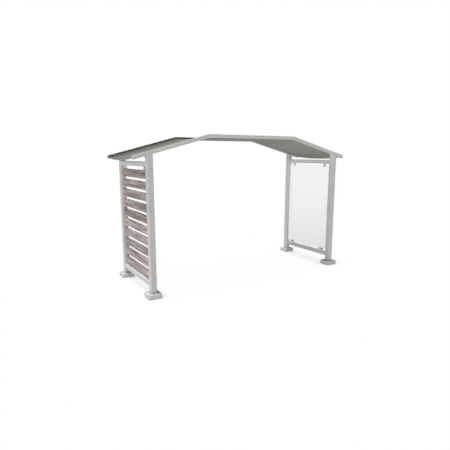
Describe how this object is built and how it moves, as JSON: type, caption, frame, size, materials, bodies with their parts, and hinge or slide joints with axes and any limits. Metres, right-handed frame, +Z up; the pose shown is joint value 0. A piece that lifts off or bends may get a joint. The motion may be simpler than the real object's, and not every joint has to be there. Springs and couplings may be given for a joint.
{
  "type": "open-sided shelter canopy with a slatted side and a glass side",
  "caption": "Open-sided canopy on posts with a sagging sheet roof between bent edge beams, a horizontal timber slat screen on one side and a frosted glass pane on the other.",
  "frame": {"origin": "on the ground, at the centre of the four posts", "axes": "+X to the right along the roof, from the slat screen to the glass pane; +Y to the back; +Z up"},
  "size_m": [4.55, 1.62, 2.6794],
  "materials": {
    "frame_paint": "satin light grey powder coat",
    "footing_concrete": "fair-faced light grey concrete",
    "roof_coat": "matt olive grey coating",
    "flashing_charcoal": "matt charcoal coating",
    "clip_steel": "brushed",
    "screen_wood": "weathered pinkish grey timber",
    "frosted_glass": "etched, translucent"
  },
  "bodies": {
    "root": {"beam_back_left": "frame_paint", "beam_back_middle": "frame_paint", "beam_back_right": "frame_paint", "beam_front_left": "frame_paint", "beam_front_middle": "frame_paint", "beam_front_right": "frame_paint", "clip_lower_back_left": "clip_steel", "clip_lower_back_right": "clip_steel", "clip_lower_front_left": "clip_steel", "clip_lower_front_right": "clip_steel", "clip_upper_back_left": "clip_steel", "clip_upper_back_right": "clip_steel", "clip_upper_front_left": "clip_steel", "clip_upper_front_right": "clip_steel", "flashing_back": "flashing_charcoal", "flashing_front": "flashing_charcoal", "foot_back_left": "footing_concrete", "foot_back_right": "footing_concrete", "foot_front_left": "footing_concrete", "foot_front_right": "footing_concrete", "glass_pane_right": "frosted_glass", "post_back_left": "frame_paint", "post_back_right": "frame_paint", "post_front_left": "frame_paint", "post_front_right": "frame_paint", "rail_lower_left": "frame_paint", "rail_lower_right": "frame_paint", "rail_upper_left": "frame_paint", "rail_upper_right": "frame_paint", "roof_sheet_left": "roof_coat", "roof_sheet_middle": "roof_coat", "roof_sheet_right": "roof_coat", "slat_01": "screen_wood", "slat_02": "screen_wood", "slat_03": "screen_wood", "slat_04": "screen_wood", "slat_05": "screen_wood", "slat_06": "screen_wood", "slat_07": "screen_wood", "slat_08": "screen_wood", "slat_09": "screen_wood", "slat_10": "screen_wood"}
  },
  "joints": []
}
